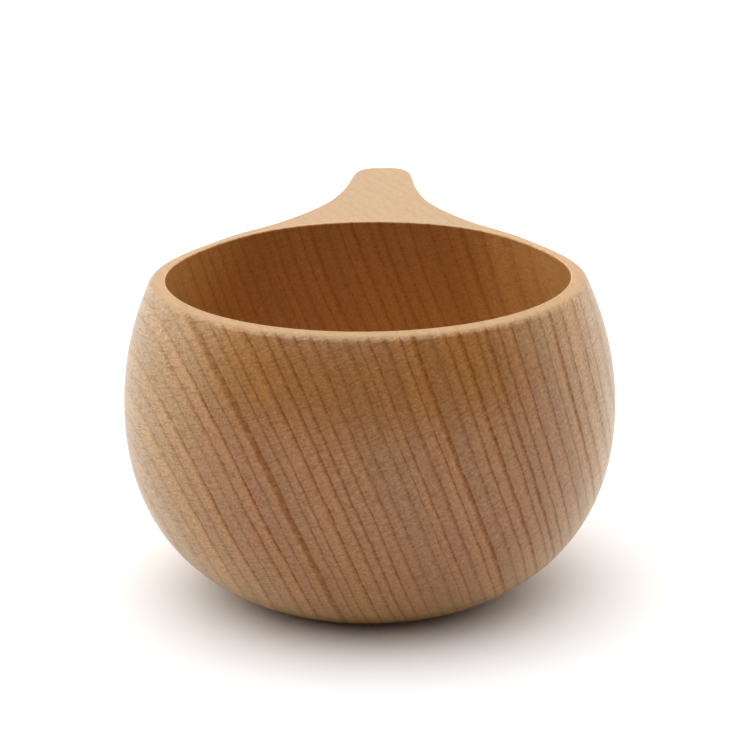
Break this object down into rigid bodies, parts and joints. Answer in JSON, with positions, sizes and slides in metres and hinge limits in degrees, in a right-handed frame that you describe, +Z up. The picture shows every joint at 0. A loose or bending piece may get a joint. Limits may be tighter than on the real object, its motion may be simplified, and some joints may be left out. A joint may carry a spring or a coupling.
{
  "type": "wooden cup",
  "caption": "Round-bellied wooden drinking cup, a kuksa, with a rolled-in mouth, a flat base and a short flared thumb handle flush with its rim.",
  "frame": {"origin": "centre of the flat base, on the bowl's turning axis", "axes": "+Z up along the bowl's axis, +Y along the handle from the bowl towards its tip, +X across"},
  "size_m": [0.095, 0.1356, 0.0625],
  "materials": {
    "bowl_wood": "oiled satin beech, turned",
    "handle_wood": "oiled satin beech, carved"
  },
  "bodies": {
    "root": {"bowl": "bowl_wood", "handle": "handle_wood"}
  },
  "joints": []
}
